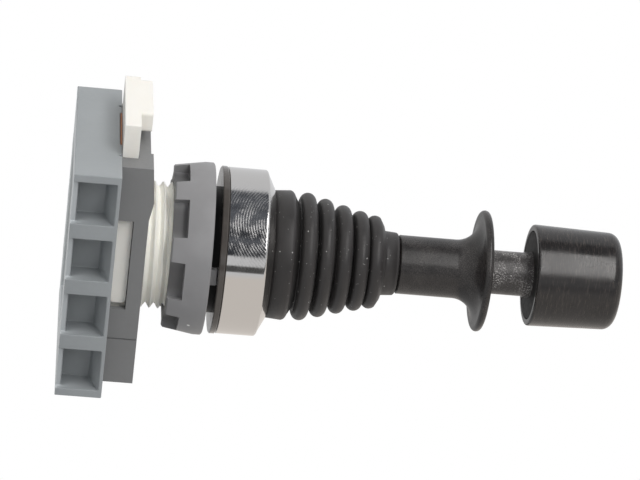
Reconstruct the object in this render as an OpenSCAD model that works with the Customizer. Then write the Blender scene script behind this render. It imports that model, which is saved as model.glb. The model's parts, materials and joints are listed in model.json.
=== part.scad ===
// Panel-mounted industrial joystick for a 22 mm hole, with a pull-to-release collar,
// a rubber bellows, a castellated lock nut and a latched adapter for contact blocks.
// The origin is the centre of the panel face that the gasket rests on; +Z runs up the lever.

/* [Adapter] */
// Width of the square adapter plate
adapter_w = 40.6; // [39:0.1:44]
// Thickness of the adapter plate
plate_t = 7.9; // [6.5:0.1:10]
// Number of contact blocks, and so of latch pockets on each side
block_count = 4; // [2:1:4]
// Distance between neighbouring contact blocks
block_pitch = 10.15; // [9.8:0.05:10.3]
// Width of one latch pocket
pocket_w = 7.4; // [5:0.1:8.4]
// How far a latch pocket reaches into the plate
pocket_depth = 5.4; // [4:0.1:6]
// Thickness of the pocket wall beside the contact blocks
rear_wall = 0.9; // [0.6:0.1:1.6]
// How far that wall stands back, so that a latch hook lies flush
hook_relief = 1.2; // [0.5:0.1:2]
// Thickness of the pocket wall beside the front frame, at the mouth
front_wall = 0.6; // [0.4:0.1:1.5]
// How much thicker that wall is at the bottom of the pocket
pocket_draft = 1.7; // [0.5:0.1:2.2]
// Thickness of the front frame
frame_t = 5.3; // [4.6:0.1:8]
// Depth of the front frame across the slide
frame_d = 29; // [28.2:0.1:34]
// Wall of the front frame around the slide
frame_wall = 1.1; // [0.8:0.1:1.6]
// Distance from the panel seat to the front frame
frame_gap = 12.6; // [11:0.1:16]

/* [Lock slide] */
// Thickness of the sliding latch
slide_t = 2.7; // [2:0.1:3.2]
// How far the latch slides to free the adapter
slide_travel = 3; // [2:0.1:3.4]
// Width of the tab that the finger pulls
tab_w = 23.4; // [17:0.1:24.4]
// How far the tab stands out of the adapter
tab_out = 5.3; // [4:0.1:9]
// Height of the finger grip on the tab
grip_h = 2.1; // [1:0.1:4]

/* [Threaded tube] */
// Outer diameter of the thread
thread_d = 22; // [22:0.1:22.2]
// Pitch of the thread
thread_pitch = 1.5; // [1:0.25:2]
// Bore of the tube
tube_bore = 17.2; // [16.8:0.1:17.4]

/* [Lock nut] */
// Diameter of the nut at its clamping end
nut_d = 30; // [28:0.1:34]
// Diameter of the nut at its notched end
nut_rear_d = 28.3; // [27:0.1:32]
// Height of the nut
nut_h = 6.9; // [6:0.1:7.8]
// Number of notches for the wrench
notch_count = 8; // [4:1:10]
// Width of one notch
notch_w = 6.9; // [4:0.1:7.2]
// Depth of one notch
notch_depth = 2.5; // [1.5:0.1:3.5]
// Panel thickness that the nut is set to
panel_t = 1.3; // [1.2:0.1:3]

/* [Head] */
// Thickness of the panel gasket
gasket_t = 1.05; // [0.6:0.05:2]
// Outer diameter of the panel gasket
gasket_d = 29.2; // [28:0.1:31]
// Outer diameter of the bezel ring
bezel_d = 29; // [28.4:0.1:31]
// Height of the straight part of the bezel ring
bezel_h = 7.05; // [6.8:0.05:9]
// Height of the cone at the front of the bezel ring
cone_h = 1.25; // [1:0.05:2]
// Diameter of the opening in the bezel ring
mouth_d = 22.9; // [22.8:0.1:23.6]
// Length of the smooth neck below the panel gasket
neck_len = 2.8; // [2.4:0.1:4]
// Inner diameter of the head around the gimbal
head_bore = 18.8; // [18.2:0.1:19.4]

/* [Bellows] */
// Thickness of the rubber
rubber_t = 0.9; // [0.6:0.05:1.1]
// Diameter of the band at the foot of the bellows
band_d = 22.4; // [21.8:0.1:22.5]
// Height of that band above the bezel ring
band_h = 3.6; // [2.5:0.1:6]
// Number of folds
fold_count = 5; // [3:1:6]
// Distance between folds
fold_pitch = 3.05; // [3:0.05:3.4]
// Radius of the crest of a fold
fold_r = 1.5; // [1.2:0.05:1.6]
// Diameter over the lowest fold
first_fold_d = 22.3; // [20:0.1:23]
// Diameter over the highest fold
last_fold_d = 16.3; // [15:0.1:18]
// Diameter of the neck that grips the lever
cuff_d = 11.2; // [10:0.1:12]
// Height of that neck
cuff_h = 2.6; // [2:0.1:5]

/* [Gimbal] */
// Largest tilt of the lever to each side
tilt_max = 13; // [8:1:13]
// Height of the tilting centre above the panel seat
pivot_h = 5; // [4.8:0.1:5.2]
// Outer diameter of the gimbal ring
gimbal_d = 17.2; // [16.8:0.1:17.4]
// Inner diameter of the gimbal ring
gimbal_bore = 13; // [12.6:0.1:13.4]
// Height of the gimbal ring
gimbal_h = 3; // [2.4:0.1:3.2]
// Diameter of the gimbal pins
pin_d = 1.6; // [1.2:0.1:2]
// Diameter of the ball at the foot of the lever
ball_d = 11.4; // [11:0.1:11.8]

/* [Lever] */
// Diameter of the lever tube
lever_d = 7.7; // [7:0.1:7.9]
// Bore of the lever tube
lever_bore = 4.6; // [4:0.1:4.8]
// Diameter of the release rod inside the lever
rod_d = 2.2; // [1.8:0.1:2.6]
// Free length of lever between the collar and the knob
lever_free = 8.05; // [7.5:0.05:12]
// Diameter of the stop ring under the knob
stop_ring_d = 8; // [7.9:0.1:9]

/* [Pull collar] */
// Diameter of the collar's sleeve
sleeve_d = 10.3; // [9.8:0.1:12]
// Length of the collar
collar_len = 15.5; // [14:0.1:20]
// Diameter of the collar's flange
flange_d = 21.3; // [19:0.1:25]
// Thickness of the flange at its rim
flange_t = 1.4; // [1:0.1:2]
// Radius of the flare between sleeve and flange
flare_r = 4; // [2:0.1:4.3]
// How far the collar is pulled up
collar_travel = 5; // [3:0.1:5.4]

/* [Knob] */
// Diameter of the knob at its underside
knob_d = 17.85; // [16:0.05:20]
// Diameter of the knob at its end
knob_end_d = 17.1; // [15:0.1:20]
// Height of the knob
knob_h = 15.25; // [13:0.05:20]
// Wall of the knob
knob_wall = 1.15; // [0.8:0.05:1.6]
// Radius of the knob's end edge
knob_edge_r = 1.9; // [1:0.1:3]

/* [Plungers] */
// Distance of each plunger from the axis
plunger_r = 5.4; // [5.3:0.05:5.5]
// Diameter of a plunger
plunger_d = 2.8; // [2.4:0.1:2.8]
// Gap between a plunger and the swash plate at rest
plunger_gap = 0.45; // [0.45:0.05:0.6]
// Thickness of the plunger guide
guide_t = 2.5; // [2:0.1:3]
// Thickness of the spring seat at the foot of the tube
spring_seat_t = 1.2; // [1:0.1:1.6]
// Wire diameter of the plunger springs
spring_wire = 0.4; // [0.3:0.05:0.5]
// Diameter of the swash plate that presses the plungers
swash_d = 13.2; // [12.8:0.1:13.4]
// Thickness of the swash plate
swash_t = 1.3; // [1:0.1:1.5]

/* [Hidden] */
$fn = 96;
eps = 0.01;
run_fit = 0.04;       // radial clearance of a pin that turns in its bore
slide_fit = 0.08;     // radial clearance of a part that slides on another
latch_fit = 0.15;     // between the slide and the groove that it latches into
pass_fit = 0.25;      // between the slide and the tube when it is unlatched
seat_gap = 0.1;       // play between neighbouring mouldings
edge = 0.4;           // chamfer on moulded and turned edges

adapter_half = adapter_w / 2;
frame_front = -frame_gap;
plate_front = frame_front - frame_t;
plate_back = plate_front - plate_t;
frame_step = 0.4;                     // the frame stands back from the plate's ends
frame_half_x = adapter_half - frame_step;
frame_half_y = frame_d / 2;
pocket_floor = adapter_half - pocket_depth;

window_x0 = -10.2;                    // window in the frame, beside the slide
window_x1 = 6.1;

slide_back = plate_front + 0.05;
slide_front = slide_back + slide_t;
cavity_front = slide_front + seat_gap;
cavity_half_y = frame_half_y - frame_wall;
slide_half_y = cavity_half_y - seat_gap;
slide_east = frame_half_x - frame_wall - seat_gap;
slide_west = slide_east - slide_travel;
tab_y = slide_half_y - tab_w;         // near edge of the tab
leaf_t = 0.25;
leaf_y0 = -5.5;
leaf_y1 = 9;

tube_r = thread_d / 2;
thread_depth = 0.6134 * thread_pitch;
tube_top = -neck_len;
tube_seat = 3;                        // how far the tube reaches into the plate
tube_bottom = plate_front - tube_seat;
bore_r = tube_bore / 2;
latch_r = tube_r - 1.3;               // groove that the slide latches into
key_w = 2.9;                          // key that stops the head turning in its hole
key_reach = 1.05;
key_len = 1.15;

nut_front = -panel_t;
nut_back = nut_front - nut_h;
nut_bore = tube_r + slide_fit;

bezel_back = gasket_t;
bezel_shoulder = bezel_back + bezel_h;
bezel_front = bezel_shoulder + cone_h;
lip_t = 1;
lip_back = bezel_front - lip_t;
foot_t = 1;
foot_back = lip_back - foot_t;
bezel_wall = 1.9;
bezel_bore = bezel_d / 2 - bezel_wall;
head_r = bezel_bore - 0.05;
mouth_r = mouth_d / 2;
neck_r = mouth_r - 0.3;               // bellows where it passes through the bezel's mouth
head_bore_r = head_bore / 2;
spigot_r = tube_r - 1.4;
spigot_len = 4.2;
spigot_end = tube_top - spigot_len;
collet_r = neck_r - rubber_t - 0.25;  // upstand that the bellows is pulled over
collet_wall = 0.9;
collet_drop = 0.6;
collet_top = bezel_front + band_h - collet_drop;

band_r = band_d / 2;
first_fold_z = bezel_front + band_h + fold_r + 1;
last_fold_z = first_fold_z + (fold_count - 1) * fold_pitch;
cuff_z = last_fold_z + fold_r;
cuff_top = cuff_z + cuff_h;
function fold_z(i) = first_fold_z + i * fold_pitch;
function fold_reach(i) = (first_fold_d + (last_fold_d - first_fold_d) * i / (fold_count - 1)) / 2;

guide_top = spigot_end;
guide_bottom = guide_top - guide_t;
guide_r = spigot_r;
clip_t = 0.8;
spring_seat_bottom = tube_bottom + clip_t + 0.4;
spring_seat_top = spring_seat_bottom + spring_seat_t;

lever_r = lever_d / 2;
lever_bore_r = lever_bore / 2;
rod_r = rod_d / 2;
ball_half = 3.7;                      // half height of the ball between its flats
swash_top = pivot_h - ball_half;
swash_bottom = swash_top - swash_t;
socket_depth = 2.5;                   // how deep the lever tube sits in the ball
lever_foot = pivot_h + ball_half - socket_depth;
collar_bottom = cuff_top + 0.2;
collar_top = collar_bottom + collar_len;
knob_bottom = collar_top + lever_free;
knob_top = knob_bottom + knob_h;
insert_t = 1.5;
lever_top = knob_bottom + 1.35;
stop_ring_t = 1.2;
stop_ring_top = knob_bottom + 0.1;
spring_plug_h = 4;
spring_plug_z = lever_top - spring_plug_h;
cross_pin_h = 6;                      // height of the cross pin in the collar
cross_pin_z = collar_bottom + cross_pin_h;
rod_neck = 4.5;
rod_head_z = cross_pin_z + rod_neck;
rod_head_t = 1;
rod_tip = guide_top + 0.3;
stud_d = 3.8;
stud_len = 7;

swash_hub_r = 2.4;
swash_clip_t = 0.6;
underplate_z = knob_bottom + seat_gap;
boss_r = 3.9;                         // boss inside the knob that holds the bush
boss_z = underplate_z + insert_t;

plunger_rad = plunger_d / 2;
plunger_top = swash_bottom - plunger_gap;
plunger_sunk = 2.3;                   // how far the push rods end inside the adapter
plunger_end = plate_back + plunger_sunk;
plunger_travel = plunger_r * tilt_max * PI / 180;   // at the end of the tilt
rim_top = guide_bottom - plunger_travel - 0.45;
rim_t = 1;
rim_r = plunger_rad + 0.9;

// ---- helpers -------------------------------------------------------------------------

// Copies its children to the four plunger places
module at_plungers() {
    for (a = [0:90:270]) rotate(a) translate([plunger_r, 0, 0]) children();
}

// A block given by its two opposite corners
module block(low, high) {
    translate(low) cube(high - low);
}

// A rectangle with round corners, given by two opposite corners
module rounded_rect(low, high, r) {
    translate([low.x + r, low.y]) square([high.x - low.x - 2 * r, high.y - low.y]);
    translate([low.x, low.y + r]) square([high.x - low.x, high.y - low.y - 2 * r]);
    for (x = [low.x + r, high.x - r], y = [low.y + r, high.y - r]) translate([x, y]) circle(r = r);
}

// A ring of rectangular section
module ring(outer_r, inner_r, z0, z1) {
    difference() {
        translate([0, 0, z0]) cylinder(r = outer_r, h = z1 - z0);
        translate([0, 0, z0 - 1]) cylinder(r = inner_r, h = z1 - z0 + 2);
    }
}

// A pin along X from x0 to x1 at height z
module pin_x(r, x0, x1, z) {
    translate([x0, 0, z]) rotate([0, 90, 0]) cylinder(r = r, h = x1 - x0);
}

// A pair of pins along X, on both sides of the axis
module pin_pair(r, x0, x1, z) {
    for (side = [0, 180]) rotate(side) pin_x(r, x0, x1, z);
}

// Helical wire: the ends lie flat, the turns between them rise evenly
function coil_rise(t, turns) =
    let (flat = 0.7 / turns) min(1, max(0, (t - flat) / (1 - 2 * flat)));

module coil_spring(mean_r, wire, turns, z0, z1) {
    steps = 16 * turns;
    sides = 6;
    rise = z1 - z0 - wire;
    points = [
        for (i = [0:steps]) let (a = 360 * i / 16, z = z0 + wire / 2 + rise * coil_rise(i / steps, turns))
            for (j = [0:sides - 1]) let (b = 360 * j / sides, r = mean_r + wire / 2 * cos(b))
                [r * cos(a), r * sin(a), z + wire / 2 * sin(b)]
    ];
    walls = [
        for (i = [0:steps - 1]) for (j = [0:sides - 1])
            let (k = (j + 1) % sides, a = i * sides + j, b = i * sides + k)
                [a, a + sides, b + sides, b]
    ];
    ends = [[for (j = [0:sides - 1]) j], [for (j = [sides - 1:-1:0]) steps * sides + j]];
    polyhedron(points, concat(walls, ends), convexity = 10);
}

// ---- adapter -------------------------------------------------------------------------

// Cut for one latch pocket in the -Y side, with its drafted front wall and its hook relief
module latch_pocket() {
    y0 = -adapter_half - 1;
    z0 = plate_back + rear_wall;
    z1 = plate_front - front_wall;
    translate([-pocket_w / 2, 0, 0]) rotate([90, 0, 90]) linear_extrude(pocket_w)
        polygon([
            [y0, z0], [-pocket_floor, z0], [-pocket_floor, z1 - pocket_draft],
            [-adapter_half, z1], [y0, z1]
        ]);
    block([-pocket_w / 2, y0, plate_back - 1], [pocket_w / 2, hook_relief - adapter_half, z0 + eps]);
}

module adapter_plate() {
    chamber_x = 15;
    chamber_y = pocket_floor - 2.4;
    leaf_bed = 0.35;
    color([0.6, 0.62, 0.63]) difference() {
        block([-adapter_half, -adapter_half, plate_back], [adapter_half, adapter_half, plate_front]);
        for (side = [0, 180]) rotate(side)
            for (i = [0:block_count - 1])
                translate([(i - (block_count - 1) / 2) * block_pitch, 0, 0]) latch_pocket();
        translate([0, 0, tube_bottom - seat_gap]) cylinder(r = tube_r + seat_gap, h = plate_t);
        block([-chamber_x, -chamber_y, plate_back - 1], [chamber_x, chamber_y, tube_bottom - seat_gap + eps]);
        block([-adapter_half - 1, leaf_y0, plate_front - leaf_bed], [-tube_r - 1.4, leaf_y1, plate_front + 1]);
        for (y = [tab_y - 0.3, slide_half_y - 1]) block(
            [-adapter_half - 1, y - 0.3, plate_front - 0.6], [0.6 - adapter_half, y + 0.3, plate_front + 1]);
    }
}

// Bronze leaf that holds the slide in its latched place
module detent_leaf() {
    color([0.6, 0.38, 0.26])
        block([-adapter_half, leaf_y0 + seat_gap, plate_front - leaf_t - 0.05],
              [-tube_r - 1.5, leaf_y1 - seat_gap, plate_front - 0.05]);
}

module adapter_frame() {
    seam_x = 11.5;
    seam_w = 0.25;
    ramp_h = 0.6;
    low_top = 0.4;       // the frame is lower behind the tab
    low_y = -7.6;
    low_depth = 4;
    rib_w = 3;
    color([0.45, 0.46, 0.47]) difference() {
        union() {
            block([-frame_half_x, -frame_half_y, plate_front], [frame_half_x, frame_half_y, frame_front]);
            // ramped rib beside the tab
            translate([0, -frame_half_y, 0]) rotate([90, 0, 0]) mirror([0, 0, 1]) linear_extrude(rib_w)
                polygon([
                    [-frame_half_x, frame_front - eps], [-frame_half_x, frame_front],
                    [-tube_r - 2.8, frame_front + ramp_h], [-tube_r + 0.4, frame_front],
                    [-tube_r + 0.4, frame_front - eps]
                ]);
        }
        translate([0, 0, plate_front - 1]) cylinder(r = tube_r + seat_gap, h = frame_t + 2);
        // channel that the slide runs in, open towards the tab
        block([-frame_half_x + frame_wall, -cavity_half_y, plate_front - 1],
              [frame_half_x - frame_wall, cavity_half_y, cavity_front]);
        block([-frame_half_x - 1, tab_y - seat_gap, plate_front - 1],
              [-frame_half_x + frame_wall + eps, cavity_half_y, cavity_front]);
        block([-frame_half_x - 1, low_y, frame_front - low_top],
              [low_depth - frame_half_x, frame_half_y + 1, frame_front + 1]);
        // window that shows the slide's edge
        block([window_x0, -frame_half_y - 1, plate_front - 1], [window_x1, -cavity_half_y + eps, cavity_front]);
        // parting line round the closed end
        for (side = [-1, 1])
            block([seam_x, side * frame_half_y - 0.2, plate_front - 1], [seam_x + seam_w, side * frame_half_y + 0.2, frame_front + 1]);
        block([seam_x, -frame_half_y - 1, frame_front - 0.2], [seam_x + seam_w, frame_half_y + 1, frame_front + 1]);
    }
}

// Sliding latch: pulled out by its tab, it frees the groove of the threaded tube
module lock_slide() {
    grip_len = 3.4;
    grip_y0 = -2.9;
    tab_end = -adapter_half - tab_out;
    edge_end = window_x1 - 0.7;      // where the edge that shows in the window ends
    edge_cut = 0.5;
    edge_w = 0.9;
    color([0.93, 0.92, 0.9]) union() {
        difference() {
            slide_body(tab_end);
            translate([0, -slide_half_y - 1, 0]) rotate([90, 0, 0]) mirror([0, 0, 1]) linear_extrude(edge_w + 1)
                polygon([
                    [slide_east + 1, slide_back - 1], [edge_end - edge_cut, slide_back - 1],
                    [edge_end - edge_cut, slide_back], [edge_end, slide_back + edge_cut],
                    [edge_end, slide_front - edge_cut], [edge_end - edge_cut, slide_front],
                    [edge_end - edge_cut, slide_front + 1], [slide_east + 1, slide_front + 1]
                ]);
        }
        translate([0, 0, slide_front - eps]) linear_extrude(grip_h + eps)
            rounded_rect([tab_end + 0.3, grip_y0], [tab_end + 0.3 + grip_len, slide_half_y - 0.2], 0.5);
    }
}

// Flat body of the slide: two overlapping holes, the narrow one latched in the tube's groove
module slide_body(tab_end) {
    translate([0, 0, slide_back]) linear_extrude(slide_t) difference() {
        union() {
            translate([-slide_west, -slide_half_y]) square([slide_west + slide_east, 2 * slide_half_y]);
            translate([tab_end, tab_y]) square([-tab_end, tab_w]);
        }
        circle(r = latch_r + latch_fit);
        translate([slide_travel, 0]) circle(r = tube_r + pass_fit);
    }
}

// ---- tube and nut --------------------------------------------------------------------

module threaded_tube() {
    thread_from = frame_front - 1.6;
    turns = floor((tube_top - 0.6 - thread_from) / thread_pitch);
    crest = thread_pitch / 4;
    flank = (thread_pitch - crest * 1.6) / 2;
    grooves = [
        for (i = [0:turns - 1]) let (z = thread_from + i * thread_pitch)
            each [[tube_r, z], [tube_r - thread_depth, z + flank],
                  [tube_r - thread_depth, z + thread_pitch - crest - flank], [tube_r, z + thread_pitch - crest]]
    ];
    color([0.8, 0.82, 0.8]) rotate_extrude() polygon(concat(
        [[bore_r, tube_bottom], [tube_r - edge, tube_bottom], [tube_r, tube_bottom + edge],
         [tube_r, slide_back - seat_gap], [latch_r, slide_back - seat_gap],
         [latch_r, cavity_front + 0.05], [tube_r, cavity_front + 0.05]],
        grooves,
        [[tube_r, tube_top], [spigot_r, tube_top], [spigot_r, guide_bottom], [bore_r, guide_bottom]]
    ));
}

// Key that stops the head turning in the notch of the panel hole
module locating_key() {
    color([0.58, 0.59, 0.6]) block(
        [-key_w / 2, -tube_r - key_reach, -key_len], [key_w / 2, -tube_r + 1.2, -0.05]);
}

module lock_nut() {
    flat = 1.5;          // straight part at the clamping end
    notch_floor = tube_r + 1.5;
    notch_phase = 1.4;
    color([0.56, 0.56, 0.57]) difference() {
        rotate_extrude() polygon([
            [nut_bore + edge, nut_back], [nut_rear_d / 2 - edge / 2, nut_back],
            [nut_rear_d / 2, nut_back + edge / 2], [nut_d / 2, nut_front - flat],
            [nut_d / 2, nut_front - edge / 2], [nut_d / 2 - edge / 2, nut_front],
            [nut_bore, nut_front], [nut_bore, nut_back + edge]
        ]);
        for (i = [0:notch_count - 1]) rotate(notch_phase + i * 360 / notch_count)
            block([notch_floor, -notch_w / 2, nut_back - 1], [nut_d, notch_w / 2, nut_back + notch_depth]);
    }
}

// ---- head ----------------------------------------------------------------------------

module panel_gasket() {
    color([0.2, 0.2, 0.19]) rotate_extrude() polygon([
        [tube_r + 0.05, 0], [gasket_d / 2 - 0.15, 0], [gasket_d / 2, 0.15],
        [gasket_d / 2, gasket_t - 0.15], [gasket_d / 2 - 0.15, gasket_t], [tube_r + 0.05, gasket_t]
    ]);
}

module head_body() {
    color([0.16, 0.16, 0.17]) difference() {
        rotate_extrude() polygon([
            [bore_r, spigot_end], [spigot_r, spigot_end], [spigot_r, tube_top], [tube_r, tube_top],
            [tube_r, gasket_t], [head_r, gasket_t], [head_r, foot_back], [collet_r, foot_back],
            [collet_r, collet_top], [collet_r - collet_wall, collet_top],
            [collet_r - collet_wall, foot_back - 0.6], [head_bore_r, foot_back - 1.2],
            [head_bore_r, 0], [bore_r, 0]
        ]);
        rotate(90) pin_pair(pin_d / 2 + run_fit, head_bore_r - 1, head_r + 1, pivot_h);
        block([-key_w / 2, -tube_r - 1, -key_len], [key_w / 2, -tube_r + 1.2, -0.05]);
    }
}

module bezel_ring() {
    round_r = 0.5;
    color([0.8, 0.8, 0.8]) rotate_extrude() difference() {
        union() {
            polygon([
                [bezel_bore, bezel_back], [bezel_d / 2 - 0.2, bezel_back], [bezel_d / 2, bezel_back + 0.2],
                [bezel_d / 2, bezel_shoulder - round_r], [bezel_d / 2 - round_r, bezel_shoulder],
                [mouth_r + 0.15, bezel_front], [mouth_r, bezel_front - 0.15],
                [mouth_r, lip_back], [bezel_bore, lip_back]
            ]);
            translate([bezel_d / 2 - round_r, bezel_shoulder - round_r]) circle(r = round_r);
        }
    }
}

// Wall of the bellows: the folds are true rings joined by a tapering tube
module bellows_profile(inset) {
    valley = fold_r + 0.35 + inset;
    end_r = 0.8;
    for (i = [0:fold_count - 1])
        translate([fold_reach(i) - fold_r, fold_z(i)]) circle(r = fold_r - inset);
    polygon([
        [0, bezel_front], [band_r - inset - 0.3, bezel_front], [band_r - inset, first_fold_z - fold_r - 1.6],
        [band_r - inset - 0.5, first_fold_z - fold_r - 0.9], [fold_reach(0) - valley, first_fold_z - fold_r - 0.1],
        [fold_reach(fold_count - 1) - valley + 0.4, last_fold_z + inset],
        [fold_reach(fold_count - 1) - fold_r - 0.6, last_fold_z + fold_r - inset - 0.05],
        [0, last_fold_z + fold_r - inset - 0.05]
    ]);
    translate([band_r - end_r - inset, first_fold_z - fold_r - 1 - end_r + 0.1]) circle(r = end_r);
}

module bellows() {
    color([0.17, 0.17, 0.18]) rotate_extrude() difference() {
        union() {
            bellows_profile(0);
            // foot clamped under the bezel ring, and the band that rises through its mouth
            translate([0, foot_back]) square([bezel_bore - 0.3, foot_t - 0.05]);
            translate([0, foot_back]) square([neck_r, bezel_front - foot_back + eps]);
            polygon([
                [0, cuff_z - 0.6], [cuff_d / 2 + 0.9, cuff_z - 0.6], [cuff_d / 2 + 0.1, cuff_z + 0.1],
                [cuff_d / 2 - 0.15, cuff_top - 0.3], [cuff_d / 2 - 0.45, cuff_top], [0, cuff_top]
            ]);
        }
        translate([0, foot_back - 1]) square([lever_r + 0.05, cuff_top - foot_back + 2]);
        translate([0, foot_back - 1]) square([collet_r + 0.05, collet_top - foot_back + 1.1]);
        difference() {
            bellows_profile(rubber_t);
            translate([0, bezel_front - 1]) square([bezel_d, collet_top + 0.1 - bezel_front + 1]);
        }
    }
}

// ---- parts inside the threaded tube --------------------------------------------------

module plunger_guide() {
    socket_r = rod_r + run_fit;
    color([0.75, 0.72, 0.62]) difference() {
        translate([0, 0, guide_bottom]) cylinder(r = guide_r, h = guide_t);
        translate([0, 0, guide_bottom - 1]) cylinder(r = socket_r, h = guide_t + 2);
        at_plungers() translate([0, 0, guide_bottom - 1]) cylinder(r = plunger_rad + slide_fit, h = guide_t + 2);
    }
}

module spring_seat() {
    color([0.75, 0.72, 0.62]) difference() {
        translate([0, 0, spring_seat_bottom]) cylinder(r = bore_r, h = spring_seat_t);
        at_plungers() translate([0, 0, spring_seat_bottom - 1])
            cylinder(r = plunger_rad + slide_fit, h = spring_seat_t + 2);
        translate([0, 0, spring_seat_bottom - 1]) cylinder(r = 2, h = spring_seat_t + 2);
    }
}

// Split spring ring under the seat
module seat_clip() {
    gap_w = 3;
    color([0.5, 0.51, 0.53]) difference() {
        ring(bore_r, bore_r - 1.1, spring_seat_bottom - clip_t, spring_seat_bottom);
        block([0, -gap_w / 2, spring_seat_bottom - clip_t - 1], [tube_r, gap_w / 2, spring_seat_bottom + 1]);
    }
}

// Push rod with a domed top and a rim that its return spring pushes on
module plunger(angle) {
    color([0.85, 0.83, 0.78]) rotate(angle) translate([plunger_r, 0, 0]) rotate_extrude() union() {
        intersection() {
            translate([0, plunger_top - plunger_rad]) circle(r = plunger_rad);
            translate([0, plunger_top - plunger_rad]) square([plunger_rad + 1, plunger_rad + 1]);
        }
        translate([0, plunger_end + edge]) square([plunger_rad, plunger_top - plunger_rad - plunger_end - edge]);
        polygon([[0, plunger_end], [plunger_rad - edge, plunger_end], [plunger_rad, plunger_end + edge], [0, plunger_end + edge]]);
        translate([0, rim_top - rim_t]) square([rim_r, rim_t]);
    }
}

module plunger_spring(angle) {
    turns = 5;
    color([0.7, 0.7, 0.72]) rotate(angle) translate([plunger_r, 0, 0])
        coil_spring(rim_r - spring_wire / 2, spring_wire, turns, spring_seat_top, rim_top - rim_t);
}

// ---- gimbal --------------------------------------------------------------------------

module gimbal_ring() {
    z0 = pivot_h - gimbal_h / 2;
    color([0.72, 0.62, 0.4]) difference() {
        ring(gimbal_d / 2, gimbal_bore / 2, z0, z0 + gimbal_h);
        pin_pair(pin_d / 2, gimbal_bore / 2 - 1, gimbal_d / 2 + 1, pivot_h);
        rotate(90) pin_pair(pin_d / 2, gimbal_bore / 2 - 1, gimbal_d / 2 + 1, pivot_h);
    }
}

// Pins along Y that carry the gimbal ring in the head
module gimbal_outer_pins() {
    color([0.7, 0.71, 0.73]) rotate(90) pin_pair(pin_d / 2, gimbal_bore / 2 + 0.1, head_r - 0.6, pivot_h);
}

// Pins along X that carry the lever's ball in the gimbal ring
module gimbal_inner_pins() {
    color([0.7, 0.71, 0.73]) pin_pair(pin_d / 2, ball_d / 2 - 2.6, gimbal_d / 2 - 0.1, pivot_h);
}

// ---- lever ---------------------------------------------------------------------------

module lever_ball() {
    color([0.66, 0.67, 0.69]) difference() {
        union() {
            intersection() {
                translate([0, 0, pivot_h]) sphere(r = ball_d / 2);
                translate([0, 0, swash_top]) cylinder(r = ball_d, h = 2 * ball_half);
            }
            translate([0, 0, swash_bottom - swash_clip_t]) cylinder(r = swash_hub_r, h = swash_t + swash_clip_t + 1);
        }
        translate([0, 0, lever_foot]) cylinder(r = lever_r, h = ball_d);
        translate([0, 0, swash_bottom - 2]) cylinder(r = rod_r + slide_fit, h = ball_d + 2);
        pin_pair(pin_d / 2 + run_fit, ball_d / 2 - 2.65, ball_d / 2 + 1, pivot_h);
    }
}

// Plate that tips with the lever and presses the plungers down
module swash_plate() {
    color([0.3, 0.3, 0.31]) rotate_extrude() polygon([
        [swash_hub_r, swash_bottom], [swash_d / 2 - 0.2, swash_bottom], [swash_d / 2, swash_bottom + 0.2],
        [swash_d / 2, swash_top - 0.2], [swash_d / 2 - 0.2, swash_top], [swash_hub_r, swash_top]
    ]);
}

module swash_clip() {
    color([0.5, 0.51, 0.53]) ring(swash_hub_r + 0.6, swash_hub_r, swash_bottom - swash_clip_t, swash_bottom);
}

module lever_tube() {
    slot_w = 1.7;
    slot_r = slot_w / 2;
    color([0.2, 0.2, 0.21]) difference() {
        ring(lever_r, lever_bore_r, lever_foot, lever_top);
        // slots that the collar pin travels in
        block([-lever_d, -slot_r, cross_pin_z], [lever_d, slot_r, cross_pin_z + collar_travel]);
        pin_x(slot_r, -lever_d, lever_d, cross_pin_z);
        pin_x(slot_r, -lever_d, lever_d, cross_pin_z + collar_travel);
    }
}

// Threaded stud that closes the lever tube and holds the knob
module lever_stud() {
    color([0.66, 0.67, 0.69]) union() {
        translate([0, 0, spring_plug_z]) cylinder(r = lever_bore_r, h = spring_plug_h);
        translate([0, 0, lever_top - eps]) cylinder(r = stud_d / 2, h = stud_len + eps);
    }
}

module stop_ring() {
    color([0.14, 0.14, 0.15]) ring(stop_ring_d / 2, lever_r, stop_ring_top - stop_ring_t, stop_ring_top);
}

module rod_spring() {
    turns = 7;
    color([0.7, 0.7, 0.72]) coil_spring(
        lever_bore_r - 0.35, 0.45, turns, rod_head_z + rod_head_t, spring_plug_z);
}

// ---- knob ----------------------------------------------------------------------------

module knob_shell() {
    end_r = knob_end_d / 2;
    bottom_r = knob_d / 2;
    color([0.17, 0.17, 0.18]) difference() {
        rotate_extrude() union() {
            polygon([
                [0, knob_bottom], [bottom_r - 0.25, knob_bottom], [bottom_r, knob_bottom + 0.25],
                [end_r, knob_top - knob_edge_r], [0, knob_top - knob_edge_r]
            ]);
            translate([0, knob_top - knob_edge_r - eps]) square([end_r - knob_edge_r, knob_edge_r + eps]);
            intersection() {
                translate([end_r - knob_edge_r, knob_top - knob_edge_r]) circle(r = knob_edge_r);
                translate([0, knob_top - knob_edge_r - 1]) square([knob_d, knob_edge_r + 2]);
            }
        }
        translate([0, 0, knob_bottom - 1]) cylinder(r = bottom_r - knob_wall, h = insert_t + 1.1);
        ring(end_r - knob_wall - 0.6, boss_r, boss_z - 1, knob_top - 2);
        translate([0, 0, knob_bottom - 1]) cylinder(r = boss_r - 1, h = lever_top + stud_len + 1.3 - knob_bottom);
    }
}

// Disc that closes the underside of the knob
module knob_underplate() {
    color([0.28, 0.28, 0.29]) ring(knob_d / 2 - knob_wall - 0.12, lever_r + 0.05, underplate_z, underplate_z + insert_t);
}

// Brass bush with the thread that the stud screws into
module knob_bush() {
    color([0.78, 0.66, 0.38]) ring(boss_r - 1, stud_d / 2, lever_top, lever_top + stud_len + 0.2);
}

// ---- pull collar ---------------------------------------------------------------------

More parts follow.
